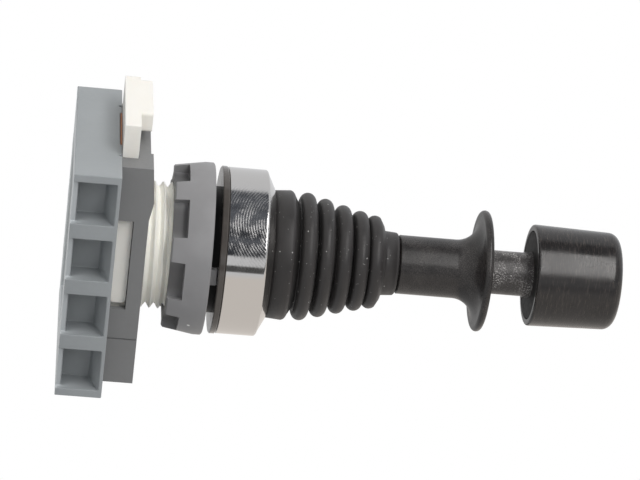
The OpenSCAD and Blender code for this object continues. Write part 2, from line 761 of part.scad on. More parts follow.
module pull_collar() {
    sleeve_r = sleeve_d / 2;
    rim_z = collar_top - flange_t;
    notch = 0.5;
    color([0.19, 0.19, 0.2]) difference() {
        rotate_extrude() union() {
            polygon([
                [0, collar_bottom], [sleeve_r - 0.2, collar_bottom], [sleeve_r, collar_bottom + 0.2],
                [sleeve_r, collar_top], [0, collar_top]
            ]);
            difference() {
                translate([sleeve_r - eps, rim_z - flare_r]) square([flare_r + eps, flare_r + flange_t]);
                translate([sleeve_r + flare_r, rim_z - flare_r]) circle(r = flare_r);
            }
            translate([sleeve_r, rim_z]) square([flange_d / 2 - flange_t / 2 - sleeve_r, flange_t]);
            translate([flange_d / 2 - flange_t / 2, rim_z + flange_t / 2]) circle(r = flange_t / 2);
        }
        translate([0, 0, collar_bottom - 1]) cylinder(r = lever_r + slide_fit, h = collar_len + 2);
        pin_x(pin_d / 2, -sleeve_r + 0.5, sleeve_r - 0.5, cross_pin_z);
        // gate mark left by moulding, on the rim
        block([flange_d / 2 - notch, -1.2, rim_z + flange_t / 2], [flange_d, 1.2, collar_top + 1]);
    }
}

module collar_pin() {
    color([0.7, 0.71, 0.73]) pin_x(pin_d / 2, -sleeve_d / 2 + 0.5, sleeve_d / 2 - 0.5, cross_pin_z);
}

// Rod that locks the lever upright until the collar is pulled
module release_rod() {
    eye_h = 4;
    body_r = lever_bore_r - slide_fit;
    color([0.66, 0.67, 0.69]) difference() {
        rotate_extrude() polygon([
            [0, rod_tip], [rod_r - 0.4, rod_tip], [rod_r, rod_tip + 0.6], [rod_r, cross_pin_z - eye_h / 2 - 1],
            [body_r, cross_pin_z - eye_h / 2], [body_r, cross_pin_z + eye_h / 2],
            [rod_r, cross_pin_z + eye_h / 2 + 1], [rod_r, rod_head_z], [body_r, rod_head_z],
            [body_r, rod_head_z + rod_head_t], [0, rod_head_z + rod_head_t]
        ]);
        pin_x(pin_d / 2, -body_r - 1, body_r + 1, cross_pin_z);
    }
}

// ---- the parts -----------------------------------------------------------------------

adapter_plate();
adapter_frame();
detent_leaf();
threaded_tube();
locating_key();
panel_gasket();
head_body();
bezel_ring();
bellows();
plunger_guide();
spring_seat();
seat_clip();
lock_slide();
lock_nut();
gimbal_ring();
gimbal_outer_pins();
gimbal_inner_pins();
lever_ball();
swash_plate();
swash_clip();
lever_tube();
lever_stud();
stop_ring();
rod_spring();
knob_shell();
knob_underplate();
knob_bush();
pull_collar();
collar_pin();
release_rod();
plunger(0);  // plunger_east
plunger(180);  // plunger_west
plunger(90);  // plunger_north
plunger(270);  // plunger_south
plunger_spring(0);  // spring_east
plunger_spring(180);  // spring_west
plunger_spring(90);  // spring_north
plunger_spring(270);  // spring_south
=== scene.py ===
import bpy
import json
from math import cos, pi, radians, sin, tan
from mathutils import Matrix, Vector


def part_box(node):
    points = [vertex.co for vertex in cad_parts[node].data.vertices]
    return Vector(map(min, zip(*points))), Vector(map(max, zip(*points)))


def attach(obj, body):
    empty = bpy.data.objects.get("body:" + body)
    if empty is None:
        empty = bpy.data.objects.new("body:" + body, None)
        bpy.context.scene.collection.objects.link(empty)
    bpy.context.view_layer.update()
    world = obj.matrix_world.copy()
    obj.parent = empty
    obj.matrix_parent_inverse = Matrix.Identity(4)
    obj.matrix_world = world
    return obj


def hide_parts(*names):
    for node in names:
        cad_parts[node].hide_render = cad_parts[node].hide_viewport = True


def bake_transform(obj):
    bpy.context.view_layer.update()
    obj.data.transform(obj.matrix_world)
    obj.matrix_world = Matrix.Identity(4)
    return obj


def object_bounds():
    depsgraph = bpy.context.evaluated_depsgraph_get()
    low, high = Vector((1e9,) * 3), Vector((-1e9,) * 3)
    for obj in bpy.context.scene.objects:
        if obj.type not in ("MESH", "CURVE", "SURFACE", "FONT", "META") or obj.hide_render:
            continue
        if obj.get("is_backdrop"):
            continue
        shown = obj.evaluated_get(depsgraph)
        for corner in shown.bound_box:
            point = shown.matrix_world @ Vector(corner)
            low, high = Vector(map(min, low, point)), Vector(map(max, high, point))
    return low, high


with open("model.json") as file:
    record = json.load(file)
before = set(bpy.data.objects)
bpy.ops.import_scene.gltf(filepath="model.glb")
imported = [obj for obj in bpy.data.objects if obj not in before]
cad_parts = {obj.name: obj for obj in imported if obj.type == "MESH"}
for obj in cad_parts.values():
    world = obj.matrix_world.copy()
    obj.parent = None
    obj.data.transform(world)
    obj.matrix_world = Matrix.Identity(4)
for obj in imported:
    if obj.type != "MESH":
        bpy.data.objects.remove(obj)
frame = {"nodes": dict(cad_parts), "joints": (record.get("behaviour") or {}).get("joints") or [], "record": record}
NODES = frame["nodes"]
CAD_BOX = [list(corner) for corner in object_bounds()]
MM = 0.001

# ---- view: the directions of the photograph, in the part's frame ----------------------------

VIEW_TURN = radians(23.5)     # turn of the part about its lever
VIEW_RISE = radians(6)        # the lever's lean away from the camera
VIEW_ROLL = radians(4.7)      # the lever's slope across the picture
AWAY = Vector((sin(VIEW_TURN), cos(VIEW_TURN), 0))
ABOVE = Vector((-cos(VIEW_TURN), sin(VIEW_TURN), 0))
UP = Vector((0, 0, 1))
ALONG = cos(VIEW_RISE) * UP - sin(VIEW_RISE) * AWAY
FORWARD = sin(VIEW_RISE) * UP + cos(VIEW_RISE) * AWAY
CAMERA_ALONG = 18.07          # place of the camera, in mm
CAMERA_ABOVE = 3.1
CAMERA_BACK = 501.1
LENS = 162.3
SENSOR = 36


def add_object(name, data):
    made = bpy.data.objects.new(name, data)
    bpy.context.scene.collection.objects.link(made)
    return made


def axes_at(x, y, z, place):
    """The matrix of an object that has these three axes and stands at a place."""
    return Matrix((
        (x.x, y.x, z.x, place.x),
        (x.y, y.y, z.y, place.y),
        (x.z, y.z, z.z, place.z),
        (0, 0, 0, 1),
    ))


def make_camera():
    """The camera lies level with the lever, which crosses the picture from left to right."""
    right = cos(VIEW_ROLL) * ALONG + sin(VIEW_ROLL) * ABOVE
    above = cos(VIEW_ROLL) * ABOVE - sin(VIEW_ROLL) * ALONG
    place = (CAMERA_ALONG * ALONG + CAMERA_ABOVE * ABOVE - CAMERA_BACK * FORWARD) * MM
    data = bpy.data.cameras.new("camera")
    data.sensor_width = SENSOR
    data.lens = LENS
    data.clip_start = 0.01
    camera = add_object("camera", data)
    camera.matrix_world = axes_at(right, above, -FORWARD, place)
    bpy.context.scene.camera = camera


# ---- places read from the CAD ---------------------------------------------------------------

def reach_of(node):
    """How far a CAD node reaches from the lever's axis, in mm."""
    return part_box(node)[1].x / MM


def heights_of(node):
    """Where a CAD node begins and ends along the lever, in mm."""
    low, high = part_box(node)
    return low.z / MM, high.z / MM


def round_the_lever(turn, reach, height):
    """A point in mm. The turn goes from the camera's side up over the lever."""
    point = (cos(turn) * -AWAY + sin(turn) * ABOVE) * reach
    point.z = height
    return point


# ---- node graphs ----------------------------------------------------------------------------

class Graph:
    """Short calls for building one node tree. A material's textures are laid out in mm."""

    def __init__(self, tree, coordinates="Object", scale=1 / MM):
        self.tree = tree
        tree.nodes.clear()
        place = self.node("ShaderNodeTexCoord")
        self.at = self.vector("SCALE", place.outputs[coordinates], scale=scale)

    def node(self, kind, **settings):
        made = self.tree.nodes.new(kind)
        for key, value in settings.items():
            setattr(made, key, value)
        return made

    def put(self, socket, value):
        """Links a node's output to the socket, or sets a plain value on it."""
        if isinstance(value, bpy.types.NodeSocket):
            self.tree.links.new(value, socket)
        elif socket.type == "RGBA" and len(value) == 3:
            socket.default_value = (*value, 1)
        else:
            socket.default_value = value

    def vector(self, operation, a, b=None, scale=None):
        made = self.node("ShaderNodeVectorMath", operation=operation)
        self.put(made.inputs[0], a)
        if b is not None:
            self.put(made.inputs[1], b)
        if scale is not None:
            self.put(made.inputs["Scale"], scale)
        return made.outputs["Value" if operation in ("DOT_PRODUCT", "LENGTH") else "Vector"]

    def along(self, direction, at=None):
        """The coordinate along a direction."""
        return self.vector("DOT_PRODUCT", at or self.at, tuple(direction))

    def distance(self, point):
        """How far the surface is from a point."""
        return self.vector("LENGTH", self.vector("SUBTRACT", self.at, tuple(point)))

    def stretch(self, factors):
        """The coordinates with each axis scaled by its own factor."""
        return self.vector("MULTIPLY", self.at, factors)

    def math(self, operation, a, b=None):
        made = self.node("ShaderNodeMath", operation=operation)
        self.put(made.inputs[0], a)
        if b is not None:
            self.put(made.inputs[1], b)
        return made.outputs[0]

    def noise(self, per_mm, detail=3, rough=0.55, at=None):
        made = self.node("ShaderNodeTexNoise")
        self.put(made.inputs["Vector"], at or self.at)
        self.put(made.inputs["Scale"], per_mm)
        self.put(made.inputs["Detail"], detail)
        self.put(made.inputs["Roughness"], rough)
        return made.outputs["Fac"]

    def cells(self, per_mm, output):
        made = self.node("ShaderNodeTexVoronoi")
        self.put(made.inputs["Vector"], self.at)
        self.put(made.inputs["Scale"], per_mm)
        return made.outputs[output]

    def span(self, value, low, high, to_low=0.0, to_high=1.0):
        """Maps low..high smoothly onto to_low..to_high and holds the ends."""
        made = self.node("ShaderNodeMapRange", interpolation_type="SMOOTHSTEP")
        for name, given in (("Value", value), ("From Min", low), ("From Max", high),
                            ("To Min", to_low), ("To Max", to_high)):
            self.put(made.inputs[name], given)
        return made.outputs["Result"]

    def band(self, value, rise, fall):
        """1 between two soft edges and 0 outside them. Each edge is a pair of values."""
        return self.math("MULTIPLY", self.span(value, *rise), self.span(value, *fall, 1, 0))

    def mix(self, factor, a, b):
        made = self.node("ShaderNodeMix", data_type="RGBA")
        self.put(made.inputs[0], factor)
        self.put(made.inputs[6], a)
        self.put(made.inputs[7], b)
        return made.outputs[2]

    def bump(self, height, depth, under=None):
        made = self.node("ShaderNodeBump")
        self.put(made.inputs["Strength"], 1.0)
        self.put(made.inputs["Distance"], depth * MM)
        self.put(made.inputs["Height"], height)
        if under is not None:
            self.put(made.inputs["Normal"], under)
        return made.outputs["Normal"]


def srgb(*levels):
    """Linear colour from 0..255 display levels."""
    return tuple((c / 255 / 12.92) if c < 11 else ((c / 255 + 0.055) / 1.055) ** 2.4 for c in levels)


def scaled(colour, factor):
    return tuple(min(1.0, c * factor) for c in colour)


# ---- what the materials share ---------------------------------------------------------------

LINT = srgb(170, 170, 168)
LINT_SHARE = 0.12             # share of the cells that hold a speck of lint
LINT_COVER = 0.7
FLUFF = srgb(190, 190, 188)


def material(name, build):
    made = bpy.data.materials.new(name)
    made.use_nodes = True
    graph = Graph(made.node_tree)
    shader = graph.node("ShaderNodeBsdfPrincipled")
    result = graph.node("ShaderNodeOutputMaterial")
    graph.put(result.inputs[0], shader.outputs[0])
    build(graph, lambda socket, value: graph.put(shader.inputs[socket], value))
    return made


def cloudy(g, pattern, colour, dark, light, low=0.3, high=0.7):
    """The colour times dark where the pattern is low, and times light where it is high."""
    return g.mix(g.span(pattern, low, high), scaled(colour, dark), scaled(colour, light))


def speckles(g, per_mm, size, share):
    """Small round specks on a share of the cells, 0 to 1 at their middles."""
    near = g.span(g.cells(per_mm, "Distance"), size * 0.5, size, 1, 0)
    chosen = g.span(g.cells(per_mm, "Color"), 1 - share - 0.02, 1 - share)
    return g.math("MULTIPLY", near, chosen)


def linted(g, base, size):
    """Scattered specks of dust over a base colour."""
    specks = speckles(g, 0.7, size, LINT_SHARE)
    return g.mix(g.math("MULTIPLY", specks, LINT_COVER), base, LINT)


# ---- kinds of material ----------------------------------------------------------------------

def moulded(name, colour, rough=0.5, mottle=0.05, grain=5.0, depth=0.006, soft=0.0, gloss=0.5):
    """Injection-moulded plastic: a fine grain and slow changes of tone."""
    def build(g, put):
        broad = g.noise(0.09)
        fine = g.noise(1.3, detail=4, rough=0.6)
        tone = g.math("ADD", g.math("MULTIPLY", broad, 0.65), g.math("MULTIPLY", fine, 0.35))
        put("Base Color", cloudy(g, tone, colour, 1 - mottle, 1 + mottle, 0.32, 0.68))
        put("Roughness", g.span(fine, 0.3, 0.7, rough - 0.05, rough + 0.06))
        put("Specular IOR Level", gloss)
        put("Normal", g.bump(g.noise(grain, rough=0.6), depth))
        if soft:
            put("Subsurface Weight", soft)
            put("Subsurface Radius", (0.9 * MM, 0.8 * MM, 0.7 * MM))
            put("Subsurface Scale", 1.0)
    return material(name, build)


def rubber(name, colour, rough, dust):
    """Soft moulded rubber: matt, cloudy, with painted shade darkening it down in the folds, and lint and fluff on
    it.
    """
    def build(g, put):
        cloud = g.noise(0.25, detail=4, rough=0.6)
        # painted shade: where ambient occlusion finds the folds close around, the base colour falls to a quarter
        # of the rubber's
        fold_occlusion = g.node("ShaderNodeAmbientOcclusion", only_local=True, samples=8)
        g.put(fold_occlusion.inputs["Distance"], 3 * MM)
        painted_fold_shade = g.span(fold_occlusion.outputs["AO"], 0.3, 0.8)
        base = g.mix(painted_fold_shade, scaled(colour, 0.25), cloudy(g, cloud, colour, 0.86, 1.16))
        lint = g.math("MAXIMUM", speckles(g, 0.8, 0.12, dust), speckles(g, 2.1, 0.16, dust))
        wisps = g.noise(1.0, detail=5, rough=0.75, at=g.stretch((2.5, 2.5, 0.7)))
        fluff = g.math("MULTIPLY", g.span(wisps, 0.66, 0.8), 0.25)
        cover = g.math("MULTIPLY", g.math("MAXIMUM", lint, fluff), 0.75)
        put("Base Color", g.mix(cover, base, FLUFF))
        put("Roughness", g.span(cloud, 0.3, 0.7, rough - 0.07, rough + 0.07))
        put("Normal", g.bump(g.noise(3.5, rough=0.6), 0.008))
        put("Sheen Weight", 0.05)
        put("Sheen Roughness", 0.5)
    return material(name, build)


def brushed_black(name, colour, rough):
    """Black moulding rubbed round its axis: fine rings scatter the light, with a warm bloom."""
    def build(g, put):
        rings = g.noise(1.0, detail=4, rough=0.65, at=g.stretch((0.5, 0.5, 5.5)))
        bloom = g.noise(0.16, detail=4, rough=0.6)
        base = cloudy(g, bloom, colour, 0.8, 1.25, 0.35, 0.65)
        base = g.mix(g.math("MULTIPLY", g.span(rings, 0.5, 0.72), 0.22), base, srgb(124, 114, 106))
        put("Base Color", linted(g, base, 0.09))
        put("Roughness", g.span(bloom, 0.3, 0.7, rough - 0.04, rough + 0.06))
        put("Normal", g.bump(rings, 0.022))
    return material(name, build)


def notched(name, colour, floor_reach, recess_front, pip_at):
    """Moulded grey with painted shade darkening the notches' floors, and one ejector pip."""
    def build(g, put):
        broad = g.noise(0.12)
        base = cloudy(g, broad, colour, 0.93, 1.07)
        reach = g.vector("LENGTH", g.stretch((1, 1, 0)))
        # painted shade: the notches' floors, inside floor_reach and behind recess_front, darken to 0.35 of the
        # colour
        painted_notch_shade = g.math("MULTIPLY", g.span(reach, floor_reach, floor_reach + 0.6, 1, 0),
                        g.span(g.along(UP), recess_front - 0.1, recess_front, 1, 0))
        base = g.mix(painted_notch_shade, base, scaled(colour, 0.35))
        put("Base Color", g.mix(g.span(g.distance(pip_at), 0.22, 0.4, 1, 0), base, srgb(236, 236, 234)))
        put("Roughness", g.span(broad, 0.3, 0.7, 0.38, 0.46))
        put("Normal", g.bump(g.noise(3.0, rough=0.6), 0.006))
    return material(name, build)


def slick_rubber(name, colour):
    """Pressed sheet rubber with a closed skin that shines at a low angle."""
    def build(g, put):
        cloud = g.noise(0.6)
        put("Base Color", cloudy(g, cloud, colour, 0.92, 1.1))
        put("Roughness", g.span(cloud, 0.3, 0.7, 0.1, 0.16))
    return material(name, build)


def chrome(name, smudge_at, smudge_top):
    """Bright plating with faint polishing lines and touch marks of curved ridges."""
    def build(g, put):
        haze = g.noise(0.35, detail=5, rough=0.65)
        lines = g.noise(1.0, at=g.stretch((0.4, 0.4, 9)))
        # the ridges are rings round a point ahead of the touch marks
        swirl = g.node("ShaderNodeTexWave", wave_type="RINGS", rings_direction="SPHERICAL")
        swirl_at = smudge_at + Vector((0, 0, 7.5))
        g.put(swirl.inputs["Vector"], g.vector("SUBTRACT", g.at, tuple(swirl_at)))
        g.put(swirl.inputs["Scale"], 0.72)
        g.put(swirl.inputs["Distortion"], 2.4)
        g.put(swirl.inputs["Detail"], 2)
        g.put(swirl.inputs["Detail Scale"], 0.35)
        patchy = g.span(haze, 0.36, 0.58, 0.25, 1)
        touched = g.math("MULTIPLY", g.span(g.distance(smudge_at), 4.5, 9.5, 1, 0), patchy)
        fade = g.span(g.along(UP), smudge_top - 0.5, smudge_top, 1, 0)
        touched = g.math("MULTIPLY", touched, fade)
        ridges = g.math("MULTIPLY", g.span(swirl.outputs["Fac"], 0.35, 0.75), touched)
        put("Base Color", g.mix(g.math("MULTIPLY", ridges, 0.3), srgb(205, 203, 201), srgb(176, 180, 186)))
        put("Metallic", 1.0)
        rough = g.math("ADD", g.span(haze, 0.3, 0.75, 0.04, 0.10), g.math("MULTIPLY", ridges, 0.15))
        put("Roughness", g.math("ADD", rough, g.math("MULTIPLY", touched, 0.05)))
        put("Normal", g.bump(ridges, 0.002, under=g.bump(lines, 0.0004)))
    return material(name, build)


def turned(name, colour, rough):
    """Turned metal: rings of the tool round the lever's axis."""
    def build(g, put):
        rings = g.noise(1.0, detail=2, at=g.stretch((0.3, 0.3, 12)))
        put("Base Color", cloudy(g, g.noise(0.5, detail=4), colour, 0.88, 1))
        put("Metallic", 1.0)
        put("Roughness", g.span(rings, 0.3, 0.7, rough - 0.07, rough + 0.09))
        put("Normal", g.bump(rings, 0.004))
    return material(name, build)


def worn_black(name, colour, rough, wear, wear_colour, depth, grain):
    """Black moulding with a spark-eroded skin that has rubbed lighter in patches."""
    def build(g, put):
        skin = g.noise(grain, detail=4, rough=0.7)
        patch = g.noise(0.22, rough=0.6)
        rubbed = g.math("MULTIPLY", g.span(skin, 0.5, 0.68), g.span(patch, 0.4, 0.62, 0.15, 1))
        base = cloudy(g, patch, colour, 0.85, 1.2)
        base = g.mix(g.math("MULTIPLY", rubbed, wear), base, wear_colour)
        put("Base Color", linted(g, base, 0.1))
        put("Roughness", g.span(skin, 0.35, 0.7, rough - 0.06, rough + 0.1))
        put("Normal", g.bump(skin, depth))
    return material(name, build)


# ---- the part's materials -------------------------------------------------------------------

PIP_TURN = radians(-64)
PIP_INSET = 0.35              # from the nut's outer wall
PIP_DROP = 2.6                # from the nut's front
NOTCH_LENGTH = 2.5            # from the nut's back
NOTCH_WALL = 1.55             # from the thread out to a notch's floor
SMUDGE_TURN = radians(22)
SMUDGE_HEIGHT = 5.0
SMUDGE_TOP = 8.6              # the touch marks end here, part way up the ring's cone

nut_back, nut_front = heights_of("lock_nut")
notch_floor = reach_of("threaded_tube") + NOTCH_WALL
pip = round_the_lever(PIP_TURN, reach_of("lock_nut") - PIP_INSET, nut_front - PIP_DROP)
smudge = round_the_lever(SMUDGE_TURN, reach_of("bezel_ring"), SMUDGE_HEIGHT)

# one look for each material slot, other than those whose nodes are all in OWN_LOOKS
LOOKS = {
    "adapter_grey": moulded("adapter_grey", srgb(151, 156, 159), rough=0.46, mottle=0.04, grain=3.5),
    "frame_grey": moulded("frame_grey", srgb(123, 124, 125), rough=0.48, mottle=0.04, grain=3.5),
    "latch_white": moulded("latch_white", srgb(240, 238, 232), rough=0.38, mottle=0.015, soft=0.25),
    "thread_white": moulded("thread_white", srgb(252, 251, 243), rough=0.4, mottle=0.02, soft=0.25),
    "gasket_rubber": slick_rubber("gasket_rubber", srgb(74, 70, 67)),
    "head_black": moulded("head_black", srgb(12, 12, 13), rough=0.4, gloss=0.15),
    "bezel_chrome": chrome("bezel_chrome", smudge, SMUDGE_TOP),
    "bellows_rubber": rubber("bellows_rubber", srgb(42, 40, 40), rough=0.46, dust=0.28),
    "inner_plastic": moulded("inner_plastic", srgb(214, 208, 190), rough=0.4, soft=0.2),
    "rod_plastic": moulded("rod_plastic", srgb(228, 224, 212), rough=0.3, soft=0.2),
    "swash_plastic": moulded("swash_plastic", srgb(58, 58, 60), rough=0.4),
    "spring_steel": turned("spring_steel", srgb(190, 191, 194), rough=0.28),
    "pin_steel": turned("pin_steel", srgb(186, 188, 192), rough=0.24),
    "ring_brass": turned("ring_brass", srgb(212, 178, 104), rough=0.28),
    "leaf_bronze": turned("leaf_bronze", srgb(176, 118, 84), rough=0.35),
    "lever_black": worn_black("lever_black", srgb(36, 34, 34), rough=0.3, wear=0.4,
                              wear_colour=srgb(132, 126, 122), depth=0.009, grain=7.0),
    "knob_black": brushed_black("knob_black", srgb(33, 31, 31), rough=0.2),
}
# a lighter, more rubbed skin: wear on the lever tube, and painted light on the stop ring
LEVER_SKIN = worn_black("lever_wear_and_painted_light", srgb(56, 53, 53), rough=0.34, wear=0.95,
                        wear_colour=srgb(236, 234, 232), depth=0.014, grain=5.0)

# nodes that differ from the rest of their slot
OWN_LOOKS = {
    "lock_nut": notched("nut_notched", srgb(140, 140, 142), notch_floor, nut_back + NOTCH_LENGTH, pip),
    "locating_key": moulded("key_grey", srgb(172, 172, 174), rough=0.4, mottle=0.04, grain=3.0),
    "lever_tube": LEVER_SKIN,
    # the stop ring takes the lighter skin as painted light: it stands in for highlights that the ring does not
    # catch in the shade near the knob
    "stop_ring": LEVER_SKIN,
    "knob_underplate": moulded("knob_disc", srgb(26, 25, 25), rough=0.6, mottle=0.1, gloss=0.3),
}


def dress_nodes():
    for part in frame["record"]["subparts"]:
        mesh = NODES[part["node"]].data
        mesh.materials.clear()
        mesh.materials.append(OWN_LOOKS.get(part["node"]) or LOOKS[part["material_slot"]])


# ---- mesh helpers ---------------------------------------------------------------------------

EDGES = {"adapter_plate": 0.18, "lock_nut": 0.07, "locating_key": 0.12, "knob_shell": 0.2}
EDGE_ANGLE = radians(28)      # edges sharper than this are rounded
FLAT_ANGLE = radians(0.3)     # triangles flatter than this are joined first
WELD_REACH = 1e-6             # in metres


def lathe(name, rows, slot, steps=128):
    """A closed skin round the lever's axis. A row is (radius, z), and the radius may be a function
    of the angle and z."""
    points = []
    for radius, z in rows:
        for k in range(steps):
            angle = 2 * pi * k / steps
            reach = radius(angle, z) if callable(radius) else radius
            points.append(Vector((reach * cos(angle), reach * sin(angle), z)) * MM)
    faces = []
    for i in range(len(rows)):
        near = i * steps
        far = (i + 1) % len(rows) * steps
        for k in range(steps):
            turn = (k + 1) % steps
            faces.append((near + k, near + turn, far + turn, far + k))
    mesh = bpy.data.meshes.new(name)
    mesh.from_pydata(points, [], faces)
    mesh.validate()
    for face in mesh.polygons:
        face.use_smooth = True
    mesh.materials.append(LOOKS[slot])
    made = add_object(name, mesh)
    return made


def arc(centre, radius, start, end, steps):
    """Points of an arc in the (radius, z) plane, angles in degrees from the outward direction."""
    points = []
    for i in range(steps + 1):
        angle = radians(start + (end - start) * i / steps)
        points.append((centre[0] + radius * cos(angle), centre[1] + radius * sin(angle)))
    return points


def soften(node, width):
    """Small moulded radii on the sharp edges of a CAD node."""
    piece = NODES[node]
    if "custom_normal" in piece.data.attributes:
        piece.data.attributes.remove(piece.data.attributes["custom_normal"])
    for face in piece.data.polygons:
        face.use_smooth = True
    weld = piece.modifiers.new("weld", "WELD")
    weld.merge_threshold = WELD_REACH
    flat = piece.modifiers.new("flat", "DECIMATE")
    flat.decimate_type = "DISSOLVE"
    flat.angle_limit = FLAT_ANGLE
    bevel = piece.modifiers.new("bevel", "BEVEL")
    bevel.width = width * MM
    bevel.segments = 2
    bevel.limit_method = "ANGLE"
    bevel.angle_limit = EDGE_ANGLE
    bevel.harden_normals = True
    bevel.miter_outer = "MITER_ARC"


# ---- bellows --------------------------------------------------------------------------------

CRESTS = ((15.45, 11.15), (18.6, 10.35), (21.8, 9.5), (24.85, 8.75), (27.5, 8.15))  # height, radius
FOLD_R = 1.32                 # round back of a fold
FOLD_ENDS = 86                # a fold's arc runs this many degrees down and up from its crest
LAST_FOLD_ENDS = 40           # the last one goes over into the shoulder
FOLD_DEPTH = 1.85             # from a crest in to its valley
FIRST_VALLEY = 0.12           # from the first fold down to the valley under it
VALLEY_HALF = 0.22            # half the height of a valley's floor
VALLEY_CUP = 0.12             # from the floor's edges in to its middle
WALL = 0.35
SPLIT_AFTER = 1               # the lower skin ends in the valley above this crest
SWEEP_ROOM = 0.5              # the lever's reach is taken this far above a valley
BAND_R = 11.35                # smooth band at the foot
BAND_ROUND = 1.0
BAND_DROP = 2.0               # from the first fold down to the middle of the band's rounding
FOOT_INSET = 0.6              # the foot in the bezel's mouth is slimmer than the band
SHOULDER = ((0.85, 1.15), (1.45, 1.5), (2.1, 1.62))    # inward and up from the last crest
CUFF_R = 5.62                 # neck that grips the lever tube
CUFF_FILLET = ((0.1, 1.75), (0, 2.1))                  # outward of the cuff, up from the crest
CUFF_TAPER = 0.12
CUFF_ROUND = 0.5
LINER_GAP = 0.05              # between the skins and the lever tube


def lever_sweep(z):
    """How far from the axis the tilted lever tube reaches at a height."""
    joint = next(joint for joint in frame["joints"] if joint["name"] == "tilt_north_south")
    tilt = radians(joint["range_deg"][1])
    pivot = joint["pos_m"][2] / MM
    return reach_of("lever_tube") / cos(tilt) + (z - pivot) * tan(tilt)


def bellows_rows():
    """Outer profile from the foot to the neck, and the row at which each crest's fold begins.
    A fold is a tight valley and then an arc over the crest."""
    foot_z, top_z = heights_of("bellows")
    front = heights_of("bezel_ring")[1]

    # the foot in the bezel's mouth, and the band that steps out in front of it
    foot_r = BAND_R - FOOT_INSET
    rows = [(foot_r, foot_z), (foot_r, front - 0.2), (BAND_R - 0.25, front + 0.05)]
    rows += arc((BAND_R - BAND_ROUND, CRESTS[0][0] - FOLD_R - BAND_DROP), BAND_ROUND, 10, 75, 8)

    breaks = []
    for i, (z, reach) in enumerate(CRESTS):
        below = z - FOLD_R - FIRST_VALLEY if i == 0 else (z + CRESTS[i - 1][0]) / 2
        breaks.append(len(rows))
        root = reach - FOLD_DEPTH
        if i <= SPLIT_AFTER + 1:
            root = max(root, lever_sweep(below + SWEEP_ROOM) + WALL)
        edge = root + VALLEY_CUP
        rows += [(edge, below - VALLEY_HALF), (root, below), (edge, below + VALLEY_HALF)]
        end = LAST_FOLD_ENDS if i == len(CRESTS) - 1 else FOLD_ENDS
        rows += arc((reach - FOLD_R, z), FOLD_R, -FOLD_ENDS, end, 16)

    # the shoulder over the last fold, and the cuff round the lever tube
    last_z, last_r = CRESTS[-1]
    rows += [(last_r - inward, last_z + up) for inward, up in SHOULDER]
    rows += [(CUFF_R + outward, last_z + up) for outward, up in CUFF_FILLET]
    tip_r, tip_z = CUFF_R - CUFF_TAPER, top_z - CUFF_ROUND
    rows += [(tip_r, tip_z)]
    rows += arc((tip_r - CUFF_ROUND, tip_z), CUFF_ROUND, 0, 90, 6)
    return rows, breaks


def inner_rows(outer, inside):
    """The same line set inwards by the wall, never nearer than inside, and walked back down."""
    rows = []
    for i, (reach, z) in enumerate(outer):
        before = outer[max(0, i - 1)]
        after = outer[min(len(outer) - 1, i + 1)]
        run = Vector((after[0] - before[0], after[1] - before[1]))
        if run.length < 1e-6:
            run = Vector((0, 1))
        run.normalize()
        rows.append((max(inside, reach - run.y * WALL), z + run.x * WALL))
    return rows[::-1]


def make_bellows():
    """Two skins that meet in a valley: the lower one from the foot, the upper one up to the neck."""
    outer, breaks = bellows_rows()
    cut = breaks[SPLIT_AFTER + 1] + 1
    inside = reach_of("lever_tube") + LINER_GAP
    lower, upper = outer[:cut + 1], outer[cut:]
    foot = lathe("bellows_lower", lower + inner_rows(lower, inside), "bellows_rubber")
    neck = lathe("bellows_upper", upper + inner_rows(upper, inside), "bellows_rubber")
    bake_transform(foot)
    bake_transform(neck)
    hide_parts("bellows")
    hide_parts("bellows")


# ---- springs --------------------------------------------------------------------------------

def make_springs():
    """Copies of the coil springs' CAD meshes, standing in for them."""
    for joint in frame["record"]["behaviour"]["joints"]:
        for soft in joint.get("deforming_nodes", []):
            node, seat = soft["node"], soft["fixed_end_z_m"]
            if node == "bellows":
                continue
            piece = add_object(node + "_coil", NODES[node].data.copy())
            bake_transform(piece)
            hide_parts(node)


# ---- thread ---------------------------------------------------------------------------------

PITCH = 1.5
THREAD_DEPTH = 0.92
FLANK = 2.5                   # the groove falls to its full depth over 1 / FLANK of a turn
LATE_FLANK = 0.12             # share of the depth by which a flank starts late, for a flat crest
RUN_OUT = 0.9                 # length over which the groove fades at each end
LAND_LOW = 0.9                # plain tube between the slide's groove and the thread
LAND_HIGH = 0.5               # plain tube in front of the thread
GROOVE_WIDTH = 2.95           # groove that the slide locks into
GROOVE_DEPTH = 1.3
GROOVE_PLAY = 0.1             # gap behind the slide
CHAMFER = 0.4
THREAD_ROWS = 110
THREAD_STEPS = 160


def held(value):
    """The value held between 0 and 1."""
    return min(1.0, max(0.0, value))


def thread_reach(crest, start, stop):
    """Radius of a helical thread with narrow flats on crests and roots, running out at both ends."""
    def reach(angle, z):
        turn = (z / PITCH - angle / (2 * pi)) % 1
        groove = held((0.5 - abs(turn - 0.5)) * FLANK - LATE_FLANK)
        fade = held((z - start) / RUN_OUT) * held((stop - z) / RUN_OUT)
        return crest - THREAD_DEPTH * groove * fade
    return reach


